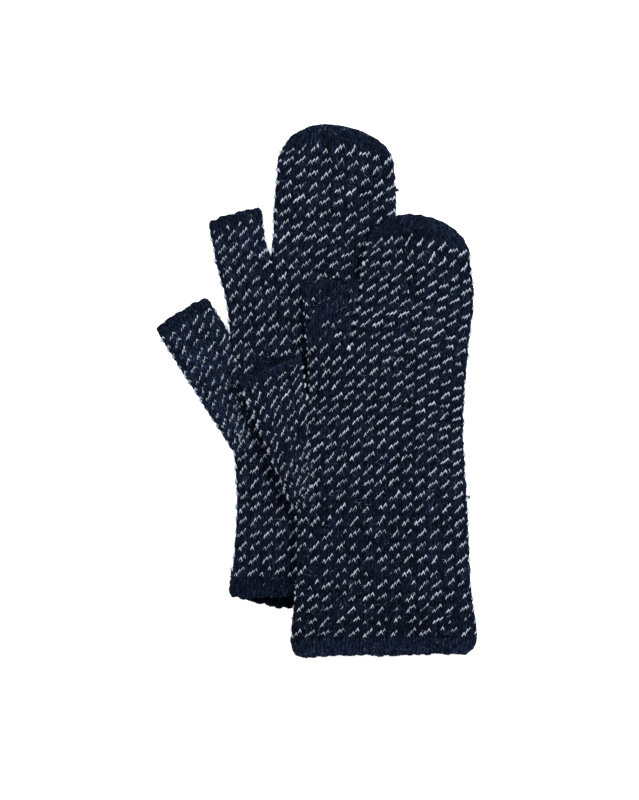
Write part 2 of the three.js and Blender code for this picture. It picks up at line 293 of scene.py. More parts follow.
class Tube:
    """A tube of knitting. Course by course, left and right are where its two edges are in plan.

    bulge is how far the middle of a course arches past its ends, and crown may reshape that arch. shape
    moves points about at the end. reaches are the right and the left side fold. root is (tube, function):
    the tube that this one grows out of, and which of its wales each wale of this one continues.
    """

    def __init__(self, wales, left, right, bulge, fullness, lift, open_start=False, open_end=False,
                 shape=None, root=None, reaches=(SIDE_FOLD, SIDE_FOLD), crown=None):
        self.wales = wales
        self.crown = crown
        self.reaches = reaches
        self.left = np.array(left, float)
        self.right = np.array(right, float)
        self.bulge = np.broadcast_to(np.array(bulge, float), (len(self.left),))
        self.fullness = np.broadcast_to(np.array(fullness, float), (len(self.left),))
        self.courses = len(self.left) - 1
        self.lift = lift
        self.open_start = open_start
        self.open_end = open_end
        self.shape = shape
        self.root = root
        middle = (self.left + self.right) / 2
        self.course_height = np.linalg.norm(middle[-1] - middle[0]) / self.courses
        self.rim = max(1, round(math.pi * RIM_RADIUS / self.course_height))
        self.lining = round(LINING_DEPTH / self.course_height)

    def first_course(self):
        return -(self.rim + self.lining) if self.open_start else 0

    def last_course(self):
        return self.courses + (self.rim + self.lining if self.open_end else 0)

    def place(self, course):
        """Turns a course number, which may run on into a lining, into (course on the tube, inset)."""
        on_tube = np.array(course, float)
        inset = np.zeros_like(on_tube)
        reach = RIM_RADIUS / self.course_height
        for is_open, beyond, edge, way in (
            (self.open_start, -on_tube, 0, -1),
            (self.open_end, on_tube - self.courses, self.courses, 1),
        ):
            if not is_open:
                continue
            angle = np.clip(beyond / self.rim, 0, 1) * math.pi
            turned = beyond > 0
            inside = edge + way * (reach * np.sin(angle) - np.maximum(beyond - self.rim, 0))
            inset = np.where(turned, RIM_RADIUS * (1 - np.cos(angle)), inset)
            on_tube = np.where(turned, inside, on_tube)
        return on_tube, inset

    def edge(self, points, on_tube):
        """Where an edge is at course numbers, carried straight on beyond both ends."""
        held = np.clip(on_tube, 0, self.courses)
        beyond = (on_tube - held)[..., None]
        knots = np.arange(self.courses + 1)
        at = np.stack([np.interp(held, knots, points[:, k]) for k in (0, 1)], -1)
        slope = np.where(beyond < 0, points[1] - points[0], points[-1] - points[-2])
        return at + beyond * slope

    def at(self, wale, course):
        """The smooth surface at wale and course numbers, which needn't be whole."""
        on_tube, inset = self.place(course)
        held = np.clip(on_tube, 0, self.courses)
        knots = np.arange(self.courses + 1)
        left, right = self.edge(self.left, on_tube), self.edge(self.right, on_tube)
        across = right - left
        width = np.linalg.norm(across, axis=-1)
        across = across / width[..., None]
        half_width = width / 2 - inset
        half_thickness = (THICKNESS / 2 - inset) * np.interp(held, knots, self.fullness)
        turn = (wale / self.wales) % 1
        over = np.where(turn <= 0.5, turn, 1 - turn) * 2
        side = np.where(turn <= 0.5, 1.0, -1.0)
        u, height = around(over, side, half_width, half_thickness, self.reaches, inset)
        middle = (left + right) / 2
        x = middle[..., 0] + across[..., 0] * u
        y = middle[..., 1] + across[..., 1] * u
        arch = 1 - (u / half_width) ** 2
        if self.crown is not None:
            arch = self.crown(x, arch, held)
        y = y + np.interp(held, knots, self.bulge) * arch
        if self.shape is not None:
            x, y, height = self.shape(x, y, height, u / half_width, half_width, over * self.wales / 2)
        z = THICKNESS / 2 + height + drape(x, y, self.lift)
        z = z + ripple(x, y) * np.clip(height / (THICKNESS / 2), 0, 1)
        points = np.stack([x, y, z], -1)
        if self.root is not None:
            parent, parent_wale = self.root
            grown = smoothstep(course, 0, JOIN_COURSES)[..., None]
            joined = parent.courses + np.minimum(course, JOIN_COURSES)
            stem = parent.at(parent_wale(wale % self.wales), joined)
            points = stem * (1 - grown) + points * grown
        return points


# ---- Knitted relief on a tube ----

def drift(rng, wale, course, wales, size):
    """Slow wandering of the stitches off their grid, the same at both ends of a ring."""
    total = np.zeros_like(course)
    for _ in range(DRIFT_WAVES):
        turns = rng.integers(2, max(3, wales // 4))
        pace = rng.uniform(-0.9, 0.9)
        total += np.sin(wale * (2 * math.pi * turns / wales) + course * pace + rng.uniform(0, 6.3))
    return total * size / math.sqrt(DRIFT_WAVES / 2)


def leg_climb(tube, course, kind):
    """How far up or down its leg each point is, in courses. At an opening or a toe the legs lie flatter."""
    climb = LEG_RISE * (COLUMN_CLIMB[kind] - 0.5)[None, :] * np.ones_like(course)
    for is_open, edge in ((tube.open_start, 0), (tube.open_end, tube.courses)):
        if is_open:
            climb = climb * (OPENING_CLIMB + (1 - OPENING_CLIMB) * smoothstep(np.abs(course - edge), 0, 4))
    if tube.root is None:
        return climb
    if tube.open_end:
        return climb * (course < tube.last_course())
    return climb * smoothstep(tube.courses - course, 0, 3)


def knit(tube, name, first, last, seed, flecks=None, faint=0.0, light=1.0, lining=1.0):
    """A mesh object with the stitches of courses first to last of a tube.

    flecks is (function, offset): the pattern's wale for each wale, and what is added to the course. faint
    is the share of extra dull stitches in it. light scales the navy. lining scales it again inside an
    opening as painted shade, and the rim where the fabric turns in is brightened as a painted highlight.
    """
    rng = np.random.default_rng(seed)
    rows = (last - first) * ROWS + 1
    columns = tube.wales * COLUMNS
    stitches = (last - first, tube.wales)
    kind = np.arange(columns) % COLUMNS
    wale_number = np.arange(columns) // COLUMNS
    wale = np.broadcast_to(wale_number + COLUMN_SPOTS[kind], (rows, columns))
    course = np.broadcast_to(first + np.arange(rows)[:, None] / ROWS, (rows, columns))
    in_course = course - np.floor(course + 1e-6)
    stitch = (np.clip(np.arange(rows) // ROWS, 0, last - first - 1)[:, None],
              np.broadcast_to(wale_number, (rows, columns)))
    swell = np.sin(np.pi * np.clip(in_course, 0, 1))

    free = smoothstep(course - tube.first_course(), 0, 3) * smoothstep(tube.last_course() - course, 0, 3)
    steady = np.random.default_rng(SEED + tube.wales)
    lean = STITCH_LEAN * rng.standard_normal(stitches)[stitch] * swell
    wale_at = wale + free * drift(steady, wale, course, tube.wales, WANDER[0]) + lean
    course_at = course + free * drift(steady, wale, course, tube.wales, WANDER[1])
    course_at = course_at + leg_climb(tube, course, kind)

    surface = tube.at(wale_at, course_at)
    along_wale = tube.at(wale_at + SLOPE_STEP, course_at) - tube.at(wale_at - SLOPE_STEP, course_at)
    along_course = tube.at(wale_at, course_at + SLOPE_STEP) - tube.at(wale_at, course_at - SLOPE_STEP)
    normal = unit(np.cross(along_course, along_wale))
    wale_width = np.linalg.norm(along_wale, axis=-1) / (2 * SLOPE_STEP)
    room = np.clip(wale_width / FULL_WALE, 0.1, 1)

    fat = LEG_FATNESS[0] + LEG_FATNESS[1] * rng.standard_normal(stitches)[stitch]
    leg_height = LEG_GROOVE + (1 - LEG_GROOVE) * swell**0.8 * fat
    height = COLUMN_HEIGHT[kind][None, :] * leg_height
    fleck = np.zeros_like(course)
    if flecks is not None:
        fleck = fleck_map(rng, tube, first, last, stitch, kind, in_course, flecks, faint)
    on_side = smoothstep(1 - np.abs(normal[..., 2]), 0.12, 0.6)
    bulge = FLECK_BULGE * (1 + SIDE_BULGE * on_side) * np.clip(fleck, 0, 1)
    fleck = fleck * (1 + SIDE_SPREAD * on_side)
    inside = tube.place(course)[1] / (2 * RIM_RADIUS)
    relief = RELIEF * (1 - 0.4 * inside) * room * np.minimum(height - 1, 0.02) + room * bulge
    relief = relief + UNEVEN * drift(rng, wale, course * 2.0, tube.wales, 1)
    points = surface + normal * relief[..., None]
    points[..., 2] = np.maximum(points[..., 2], FLOOR_GAP)

    wale_tone = 1 + WALE_TONE * rng.standard_normal(tube.wales)[wale_number][None, :]
    patch_tone = 1 + drift(rng, wale, course * 0.6, tube.wales, PATCH_TONE)
    legs = 1 + LEG_TONE * rng.standard_normal((2, *stitches))
    leg_tone = np.where((kind < RIGHT_LEG_COLUMNS)[None, :], legs[0][stitch], legs[1][stitch])
    # painted shade: the navy darkens down in the grooves between the legs and the wales, where the yarn
    # stands low
    groove_shade = 0.12 + 0.96 * np.clip(height, 0, 1)
    # painted light and shade: light scales the navy, inside an opening it is darkened as painted shade, and
    # the rim where the fabric turns in gets a painted highlight
    shade = light * (1 + (lining - 1) * smoothstep(inside, 0.4, 1)) * (1 + 0.5 * np.sin(np.pi * inside))
    # tone is random variation of the navy multiplied by the painted shade and light above
    tone = np.clip(wale_tone * patch_tone * leg_tone, 0.25, 2.6) * groove_shade * shade

    grid = grid_mesh(points, course, kind)
    grid["fleck"] = fleck.ravel()
    grid["tone"] = tone.ravel()
    fibres = stray_fibres(rng, tube, points, normal, along_wale, along_course, course)
    return make_object(name, [grid, fibres])


def fleck_map(rng, tube, first, last, stitch, kind, in_course, flecks, faint):
    """How much off-white yarn there is at each mesh point, from 0 to about 1."""
    pattern_wale, pattern_course = flecks
    courses = np.arange(first, last)[:, None] + pattern_course
    wales = pattern_wale(np.arange(tube.wales))[None, :]
    up = courses % FLECK_COURSES
    is_fleck = ((-wales) % FLECK_WALES == up) & (up < FLECK_STITCHES)
    size = is_fleck.shape
    left = np.where(is_fleck, np.clip(LEFT_LEG[0] - LEFT_LEG[1] * rng.random(size), 0, 1.1), 0)
    right = np.where(is_fleck, np.clip(RIGHT_LEG[0] - RIGHT_LEG[1] * rng.random(size), 0, 1.1), 0)
    dull = rng.random(size) < DULL_SHARE + faint
    left[dull] *= 0.25 + 0.3 * rng.random(size)[dull]
    right[dull] *= 0.2 + 0.2 * rng.random(size)[dull]
    stout = np.where(rng.random(size) < STOUT_SHARE, 0.85, 0.42 + 0.25 * rng.random(size))
    left_leg, right_leg = left[stitch], right[stitch]
    neighbour = np.roll(left, 1, axis=1)[stitch]
    by_kind = [
        np.maximum(0.5 * right_leg, 0.6 * neighbour), right_leg, right_leg,
        np.maximum(left_leg, right_leg), left_leg, left_leg,
    ]
    strength = np.zeros_like(in_course)
    for k, values in enumerate(by_kind):
        strength = np.where(kind[None, :] == k, values, strength)
    off_middle = np.abs(in_course - 0.5)
    thickness = np.where(off_middle < 0.1, 1.0, np.where(off_middle < 0.3, stout[stitch], 0.0))
    return strength * thickness


def ring_grid(rows, columns):
    """The corners' rows and columns, and the quads, of a grid whose last column joins its first."""
    r, c = np.meshgrid(np.arange(rows - 1), np.arange(columns), indexing="ij")
    corners = [(r, c), (r + 1, c), (r + 1, c + 1), (r, c + 1)]
    quads = np.stack([rr * columns + cc % columns for rr, cc in corners], -1).reshape(-1, 4)
    return corners, quads


def corner_map(corners, place):
    """A UV map that has place(row, column) at each corner of each quad."""
    return np.stack([np.stack(place(rr, cc), -1) for rr, cc in corners], 2).reshape(-1, 2)


def grid_mesh(points, course, kind):
    """The points, faces and maps of a grid of stitches."""
    rows, columns = points.shape[:2]
    corners, quads = ring_grid(rows, columns)
    climb = COLUMN_CLIMB[kind]
    bake = corner_map(corners, lambda rr, cc: [cc / columns, rr / (rows - 1)])
    twist = corner_map(corners, lambda rr, cc: [climb[cc % columns], course[rr, cc % columns]])
    return {"points": points.reshape(-1, 3), "quads": quads, "bake": bake, "twist": twist}


def stray_fibres(rng, tube, points, normal, along_wale, along_course, course):
    """Loose hairs lying over the fabric, as thin curved ribbons."""
    rows, columns = points.shape[:2]
    outside = (course[:, 0] > -1) & (course[:, 0] < tube.courses + 1)
    row_choice = np.flatnonzero(outside)
    stitch_area = np.linalg.norm(np.cross(along_wale, along_course), axis=-1) / (2 * SLOPE_STEP) ** 2
    area = stitch_area[outside].sum() / ROWS / COLUMNS
    count = max(4, int(area / FIBRE_AREA))
    r = rng.choice(row_choice, count)
    c = rng.integers(0, columns, count)
    start, up = points[r, c], normal[r, c]
    side, ahead = unit(along_wale[r, c]), unit(along_course[r, c])
    heading = rng.uniform(0, 2 * math.pi, count)[:, None]
    way = side * np.cos(heading) + ahead * np.sin(heading)
    bend = (ahead * np.cos(heading) - side * np.sin(heading)) * rng.normal(0, 0.45, count)[:, None]
    length = rng.uniform(*FIBRE_LENGTH, count)[:, None]
    lift = rng.uniform(*FIBRE_LIFT, count)[:, None]
    facing = unit(np.cross(way, up) + up * rng.normal(0, 0.5, count)[:, None])
    ribbons = []
    for k in range(FIBRE_STEPS):
        s = k / (FIBRE_STEPS - 1)
        spot = start + way * (length * s) + bend * (length * s * s)
        spot = spot + up * (0.15 + lift * math.sin(2.6 * s))
        half = FIBRE_RADIUS * (1 - 0.6 * s)
        ribbons.append(np.stack([spot - facing * half, spot + facing * half], 1))
    ribbon = np.stack(ribbons, 1).reshape(-1, 3)
    ribbon[:, 2] = np.maximum(ribbon[:, 2], 1.5 * FLOOR_GAP)
    base = np.arange(count)[:, None, None] * (2 * FIBRE_STEPS)
    step = np.arange(FIBRE_STEPS - 1)[None, :, None] * 2
    quads = (base + step + np.array([0, 1, 3, 2])[None, None, :]).reshape(-1, 4)
    spot = np.stack([(c + 0.5) / columns, (np.minimum(r, rows - 2) + 0.5) / (rows - 1)], -1)
    patch = np.tile([[0, 0], [1e-4, 0], [1e-4, 1e-4], [0, 1e-4]], (count * (FIBRE_STEPS - 1), 1))
    maps = np.repeat(spot, 4 * (FIBRE_STEPS - 1), axis=0) + patch
    fleck = np.repeat(0.1 + 0.5 * rng.random(count) ** 5, 2 * FIBRE_STEPS)
    tone = np.repeat(rng.uniform(1.0, 2.2, count), 2 * FIBRE_STEPS)
    return {"points": ribbon, "quads": quads, "bake": maps, "twist": maps * 20,
            "fleck": fleck, "tone": tone}


def make_object(name, parts):
    """One smooth mesh object out of several parts, each with points, quads, maps and attributes."""
    starts = np.cumsum([0] + [len(p["points"]) for p in parts[:-1]])
    points = np.vstack([p["points"] for p in parts]) * 0.001
    quads = np.vstack([p["quads"] + s for p, s in zip(parts, starts)])
    mesh = bpy.data.meshes.new(name)
    mesh.vertices.add(len(points))
    mesh.vertices.foreach_set("co", points.astype(np.float32).ravel())
    mesh.loops.add(quads.size)
    mesh.loops.foreach_set("vertex_index", quads.astype(np.int32).ravel())
    mesh.polygons.add(len(quads))
    mesh.polygons.foreach_set("loop_start", np.arange(0, quads.size, 4, dtype=np.int32))
    mesh.polygons.foreach_set("use_smooth", np.ones(len(quads), bool))
    mesh.update(calc_edges=True)
    for key in ("fleck", "tone"):
        values = np.concatenate([p[key] for p in parts]).astype(np.float32)
        mesh.attributes.new(key, "FLOAT", "POINT").data.foreach_set("value", values)
    for layer_name, key in (("OFBake", "bake"), ("Yarn", "twist")):
        layer = mesh.uv_layers.new(name=layer_name)
        layer.data.foreach_set("uv", np.vstack([p[key] for p in parts]).astype(np.float32).ravel())
    mesh.uv_layers.active = mesh.uv_layers["OFBake"]
    mesh.uv_layers["OFBake"].active_render = True
    obj = bpy.data.objects.new(name, mesh)
    bpy.context.scene.collection.objects.link(obj)
    return obj


# ---- The tubes of one mitten ----

def edge_at(curve, y, side):
    """The x of the left (0) or right (1) edge of an outline at some y."""
    return np.interp(y, curve[:, 0], curve[:, 1 + side])


def hand_tube(m):
    """From the cuff's opening up to the fork between the index finger and the pouch."""
    curve = spline(m["hand_outline"])
    along = np.linspace(0, 1, m["hand_courses"] + 1)
    start = m["hand_outline"][0][0]
    left_top, right_top, bulge_top = m["hand_top"]
    curving = smoothstep(along, 0.3, 1.0)
    left_y = start + (left_top - start) * along
    right_y = start + (left_top - start) * along - (left_top - right_top) * curving
    middle_y = start + (left_top + bulge_top * 0.6 - start) * along
    left_y = middle_y + (left_y - middle_y) * curving
    right_y = middle_y + (right_y - middle_y) * curving
    right_y = right_y + m["hem_tilt"] * (1 - smoothstep(along, 0, 0.25))
    left = np.stack([edge_at(curve, left_y, 0), left_y], -1)
    right = np.stack([edge_at(curve, right_y, 1), right_y], -1)
    fork_y = m["index"]["crotch"][3]
    wale_size = 2.0

    def shape(x, y, height, u, half_width, over):
        """A valley that leads up to the fork, and the hem's round corners, wavy edge and slip."""
        aside = np.clip(np.abs(over - m["split"]) * wale_size / m["fork_fold"], 0, 1)
        begun = VALLEY_START_DEPTH * smoothstep(y, fork_y - VALLEY_START[0], fork_y - VALLEY_START[1])
        valley = np.maximum(smoothstep(y, fork_y - VALLEY[0], fork_y - VALLEY[1]), begun)
        height = height * (1 - valley * (1 - np.sqrt(np.clip(1 - (1 - aside) ** 2, 0, 1))))
        above = y - start
        cut = corner_cut((1 - np.abs(u)) * half_width, np.where(u < 0, *m["hem_corner"]))
        under = smoothstep(-height, 0.5, 3.0)
        waves = 0.8 * np.abs(np.sin(over * 0.8 + 0.9 * np.sin(over * 0.31) + under * 2 + 0.4))
        waves = waves + 0.35 * np.sin(over * 0.27 + 1 + under) + 0.25 * np.sin(over * 2.3)
        slip = np.interp(x, *m["under_slip"]) * under * (1 - smoothstep(above, 0, HEM_SLIP))
        cut = np.exp(-(above / HEM_ROUNDING) ** 2) * cut
        return x, y + cut - np.exp(-(above / HEM_WAVES) ** 2) * waves - slip, height

    return Tube(HAND_WALES, left, right, bulge_top * curving, 1, m["lift"], open_start=True, shape=shape)


def pouch_tube(m, hand):
    """From the fork over the fingertips, and which wale of the hand each of its wales continues.

    The courses of the toe are domes that close at its apex.
    """
    outline = m["pouch_outline"]
    curve = spline(outline)
    toe_start, toe_left, toe_right = outline[-1]
    apex_x, toe_top = m["toe"]
    rise = toe_top - toe_start

    def edge(y, side):
        below = edge_at(curve, np.minimum(y, toe_start), side)
        sweep = np.sqrt(np.clip(1 - (np.maximum(y - toe_start, 0) / rise) ** 2, 0, 1))
        end = toe_right if side else toe_left
        return np.where(y <= toe_start, below, apex_x + (end - apex_x) * sweep)

    body = np.linspace(0, 1, m["pouch_courses"] + 1)
    corner = np.linspace(0, 1, m["toe_courses"] + 1)[1:]
    toe_y = toe_start + rise * np.cos(math.pi / 2 - (math.pi / 2 - TOE_CORNER) * corner)
    split = m["split"]
    seam = hand.at(np.array([0.0, split / 2, split]), np.full(3, float(hand.courses)))
    left_start, right_start = seam[2, 1], seam[0, 1]
    right_end = toe_start - m["toe_tilt"]
    left_y = np.concatenate([left_start + (toe_start - left_start) * body, toe_y])
    right_toe = right_end + (toe_y[-1] - right_end) * (toe_y - toe_start) / (toe_y[-1] - toe_start)
    right_y = np.concatenate([right_start + (right_end - right_start) * body, right_toe])
    seam_bulge = seam[1, 1] - (left_start + right_start) / 2
    body_bulge = 2.0
    final_bulge = toe_top - toe_y[-1]
    bulge = np.concatenate([seam_bulge + (body_bulge - seam_bulge) * body,
                            body_bulge + (final_bulge - body_bulge) * corner])
    top = (left_y + right_y) / 2 + bulge
    to_go = np.clip((toe_top - top) / SIDE_FOLD, 0, 1)
    fullness = np.maximum(np.sqrt(1 - (1 - to_go) ** 2), 0.02)
    left = np.stack([edge(left_y, 0), left_y], -1)
    right = np.stack([edge(right_y, 1), right_y], -1)
    wales = 2 * (split + CROTCH_WALES)

    def hand_wale(wale):
        front = np.minimum(wale, split)
        back = np.maximum(wale, wales - split) + HAND_WALES - wales
        return np.where(wale <= wales / 2, front, back)

    def crown(x, arch, held):
        in_toe = np.clip((held - m["pouch_courses"]) / m["toe_courses"], 0, 1)
        half = np.where(x < apex_x, apex_x - toe_left, toe_right - apex_x)
        outline_y = toe_start + rise * np.sqrt(np.clip(1 - ((x - apex_x) / half) ** 2, 0, 1))
        dome = np.clip((outline_y - toe_y[-1]) / final_bulge, 0, 1)
        return arch * (1 - in_toe) + dome * in_toe

    return Tube(wales, left, right, bulge, fullness, m["lift"], root=(hand, hand_wale),
                reaches=(SIDE_FOLD, m["fork_fold"]), crown=crown), hand_wale


def finger_tube(lines, course_height, wales, lift, shape_of, sink=0.0, root=None,
                reaches=(SIDE_FOLD, SIDE_FOLD)):
    """A finger from the first of its cross lines to its open tip, the last of them.

    Its left edge stands raised off whatever it lies on, or is thinned by a fraction down onto it. sink is
    how much thinner the whole finger is than the hand.
    """
    left_path, right_path = [], []
    for (ax, ay, bx, by), (cx, cy, dx, dy) in zip(lines[:-1], lines[1:]):
        length = math.hypot((cx + dx - ax - bx) / 2, (cy + dy - ay - by) / 2)
        n = max(2, round(length / course_height))
        f = np.linspace(0, 1, n + 1)[(1 if left_path else 0):, None]
        left_path.append(np.array([ax, ay]) * (1 - f) + np.array([cx, cy]) * f)
        right_path.append(np.array([bx, by]) * (1 - f) + np.array([dx, dy]) * f)
    start, tip = line_middle(lines[0]), line_middle(lines[-1])
    way = unit(tip - line_middle(lines[-2]))

    def shape(x, y, height, u, half_width, over):
        short = -((x - tip[0]) * way[0] + (y - tip[1]) * way[1])
        near = np.exp(-(short / TIP_REACH) ** 2)
        face = np.clip(height / (THICKNESS / 2), -1, 1)
        back = shape_of["gape"] * face * (1 - u**2) + 0.35 * np.sin(over * 0.9 + face)
        back = back + 0.25 * np.sin(over * 2.1) + corner_cut((1 - np.abs(u)) * half_width, TIP_CORNER)
        along = np.clip(((x - start[0]) * way[0] + (y - start[1]) * way[1]) / RAISED_OVER, 0, 1)
        to_left = smoothstep(-u, -0.2, 1) * along
        height = height * (1 - TIP_THINNING * near) + shape_of["raised"] * to_left
        height = height - shape_of["thinned"] * to_left * (height + THICKNESS / 2)
        return x - way[0] * near * back, y - way[1] * near * back, height

    return Tube(wales, np.vstack(left_path), np.vstack(right_path), TIP_ARCH, 1 - sink, lift,
                open_end=True, shape=shape, root=root, reaches=reaches)


def line_middle(line):
    return np.array([(line[0] + line[2]) / 2, (line[1] + line[3]) / 2])


# ---- Yarn ends ----

END_RADIUS = 0.6         # one ply of the yarn
END_SIDES = 8
END_RINGS = 22
END_TURNS = 1.6
END_HAIRS = 14
END_LEAN = 0.3           # how far it leans off its node's middle at each end
END_ROOT = 3.0           # how deep it begins inside the fabric


def yarn_end(name, box, rng, reach):
    """A short cut end of two-ply yarn, out to a fraction reach of its CAD node's box."""
    low, high = (np.array(c) * 1000 for c in box)
    middle = (low + high) / 2
    start = np.array([low[0] - END_ROOT, middle[1] - END_LEAN, middle[2]])
    end = np.array([low[0] + reach * (high[0] - low[0]), middle[1] + END_LEAN, middle[2]])
    way = unit(end - start)
    side = unit(np.cross(way, [0, 0, 1]))
    up = np.cross(side, way)
    parts = []
    for ply in (0, 1):
        rings = []
        for k in range(END_RINGS + 1):
            s = k / END_RINGS
            turn = 2 * math.pi * END_TURNS * s + math.pi * ply
            spread = END_RADIUS * (0.85 + 0.5 * s * s)
            droop = -0.5 * s * s
            centre = start + (end - start) * s + side * math.cos(turn) * spread
            centre = centre + up * (math.sin(turn) * spread + droop)
            angles = np.arange(END_SIDES) * 2 * math.pi / END_SIDES
            closing = 1 if k < END_RINGS else 0.35
            size = (END_RADIUS * (1 + 0.12 * rng.standard_normal(END_SIDES)) * closing)[:, None]
            rings.append(centre + np.cos(angles)[:, None] * size * side
                         + np.sin(angles)[:, None] * size * up)
        parts.append(tube_mesh(np.array(rings), rng))
    base = start + (end - start) * rng.uniform(0.2, 1.0, END_HAIRS)[:, None]
    heading = unit(way + 0.9 * rng.standard_normal((END_HAIRS, 3)))
    tips = base + heading * rng.uniform(0.4, 1.1, END_HAIRS)[:, None]
    parts.append(hair_mesh(base, tips, rng))
    return make_object(name, parts)


def tube_mesh(rings, rng):
    """The points, faces and maps of one ply, out of its rings."""
    rows, columns = rings.shape[:2]
    corners, quads = ring_grid(rows, columns)
    maps = corner_map(corners, lambda rr, cc: [cc / columns, rr / rows])
    tone = rng.uniform(0.6, 1.3, rows * columns)
    return {"points": rings.reshape(-1, 3), "quads": quads, "bake": maps, "twist": maps * [1, 8],
            "fleck": np.zeros(rows * columns), "tone": tone}


def hair_mesh(base, tips, rng):
    """Fine straight hairs as ribbons of one face each."""
    count = len(base)
    across = unit(np.cross(tips - base, rng.standard_normal((count, 3)))) * FIBRE_RADIUS
    points = np.stack([base - across, tips - across * 0.3, tips + across * 0.3, base + across], 1)
    quads = np.arange(count * 4).reshape(-1, 4)
    maps = np.tile([[0.5, 0.5], [0.51, 0.5], [0.51, 0.51], [0.5, 0.51]], (count, 1))
    return {"points": points.reshape(-1, 3), "quads": quads, "bake": maps, "twist": maps,
            "fleck": np.zeros(count * 4), "tone": np.full(count * 4, 1.6)}


# ---- Materials ----

# The darkest and the brightest fibres of each yarn.
NAVY = ((0.0028, 0.0080, 0.0212), (0.0178, 0.0268, 0.0580))
OFF_WHITE = ((0.47, 0.55, 0.70), (0.77, 0.85, 0.97))


class Graph:
    """A material's node tree with a short way to add and link nodes."""

    def __init__(self, name):
        self.material = bpy.data.materials.new(name)
        self.material.use_nodes = True
        self.tree = self.material.node_tree
        self.tree.nodes.clear()

    def add(self, kind, settings=None, **inputs):
        node = self.tree.nodes.new(kind)
        for key, value in (settings or {}).items():
            setattr(node, key, value)
        for key, value in inputs.items():
            self.plug(value, node.inputs[key.replace("_", " ")])
        return node

    def plug(self, value, socket):
        if isinstance(value, bpy.types.NodeSocket):
            self.tree.links.new(value, socket)
        else:
            socket.default_value = value

    def ramp(self, fac, stops):
        node = self.tree.nodes.new("ShaderNodeValToRGB")
        for element, (position, colour) in zip(node.color_ramp.elements, stops):
            element.position = position
            element.color = (*colour, 1)
        self.tree.links.new(fac, node.inputs[0])
        return node.outputs[0]

    def map_range(self, value, from_min, from_max, to_min, to_max, kind="LINEAR"):
        node = self.add("ShaderNodeMapRange", {"interpolation_type": kind}, Value=value,
                        From_Min=from_min, From_Max=from_max, To_Min=to_min, To_Max=to_max)
        return node.outputs[0]

    def math(self, operation, *values):
        node = self.tree.nodes.new("ShaderNodeMath")
        node.operation = operation
        for value, socket in zip(values, node.inputs):
            self.plug(value, socket)
        return node.outputs[0]

    def mix(self, blend, factor, a, b):
        node = self.tree.nodes.new("ShaderNodeMix")
        node.data_type = "RGBA"
        node.blend_type = blend
        self.plug(factor, node.inputs["Factor"])
        self.plug(a, node.inputs["A"])
        self.plug(b, node.inputs["B"])
        return node.outputs["Result"]


def knit_material(name):
    """Woollen yarn: navy, with off-white where the fleck attribute says so."""
    g = Graph(name)
    place = g.add("ShaderNodeTexCoord").outputs["Object"]
    fibres = g.add("ShaderNodeTexNoise", Vector=place, Scale=2400.0, Detail=3.0, Roughness=0.7).outputs[0]
    patches = g.add("ShaderNodeTexNoise", Vector=place, Scale=70.0, Detail=2.0).outputs[0]
    dye_spots = g.add("ShaderNodeTexNoise", Vector=place, Scale=760.0, Detail=1.0).outputs[0]
    tone = g.add("ShaderNodeAttribute", {"attribute_name": "tone"}).outputs["Fac"]
    fleck = g.add("ShaderNodeAttribute", {"attribute_name": "fleck"}).outputs["Fac"]

    navy = g.ramp(fibres, [(0.32, NAVY[0]), (0.70, NAVY[1])])
    patch_tone = g.map_range(patches, 0.3, 0.7, 0.88, 1.12)
    dye_tone = g.map_range(dye_spots, 0.3, 0.7, 0.5, 1.5)
    tones = g.math("MULTIPLY", patch_tone, dye_tone)
    # the tone attribute brings in random tone together with painted shade in the grooves and inside the
    # openings, a painted highlight on the rims and the painted light of the light values
    navy = g.mix("MULTIPLY", 1.0, navy, g.math("MULTIPLY", tone, tones))
    white = g.ramp(fibres, [(0.30, OFF_WHITE[0]), (0.62, OFF_WHITE[1])])
    ragged = g.math("MULTIPLY_ADD", fibres, 0.5, fleck)
    edge = g.map_range(ragged, 0.55, 0.95, 0.0, 1.0, "SMOOTHSTEP")
    colour = g.mix("MIX", edge, navy, white)

    yarn = g.add("ShaderNodeUVMap", {"uv_map": "Yarn"}).outputs[0]
    ply = g.add("ShaderNodeTexWave", {"bands_direction": "DIAGONAL"}, Vector=yarn, Scale=1.6,
                Distortion=0.6).outputs["Fac"]
    bump = g.add("ShaderNodeBump", Strength=0.6, Distance=0.00018, Height=g.math("ADD", ply, fibres))
    rough = g.map_range(fibres, 0.0, 1.0, 0.8, 1.0)
    shader = g.add("ShaderNodeBsdfPrincipled", Base_Color=colour, Roughness=rough, Normal=bump.outputs[0])
    shader.inputs["Specular IOR Level"].default_value = 0.03
    shader.inputs["Sheen Weight"].default_value = 0.02
    shader.inputs["Sheen Roughness"].default_value = 0.5
    shader.inputs["Sheen Tint"].default_value = (0.45, 0.55, 0.8, 1)
    g.add("ShaderNodeOutputMaterial", Surface=shader.outputs[0])
    g.material["slot"] = name
    return g.material


# ---- Building a mitten ----


def finish_piece(obj, material, nodes):
    obj.data.materials.append(material)
    if nodes:
        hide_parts(*nodes)


HAND_PARTS = ("gauntlet", "wrist", "palm", "knuckles")    # from the hem up, of equal length


def build_hand(m, hand, seed, patterned, plain):
    name, body = m["name"], f"{m['name']}_hand"
    first = m["hem_courses"]
    hem = knit(hand, f"{name}_hem_knit", hand.first_course(), first, seed,
               light=m["hem_light"], lining=HEM_INSIDE_SHADE)
    finish_piece(hem, plain, [f"{name}_cuff_hem"])
    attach(hem, body)
    count = len(HAND_PARTS)
    cuts = [first + round((hand.courses - first) * k / count) for k in range(count + 1)]
    flecks = (lambda wale: wale + m["fleck_start"][0], -m["fleck_start"][1])
    for k, part in enumerate(HAND_PARTS):
        faint = m["faint_cuff"] * max(0.0, 1 - k / 2)
        piece = knit(hand, f"{name}_{part}_knit", cuts[k], cuts[k + 1], seed + 1 + k,
                     flecks, faint, m["light"])
        finish_piece(piece, patterned, [body] if k == 0 else [])
        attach(piece, body)


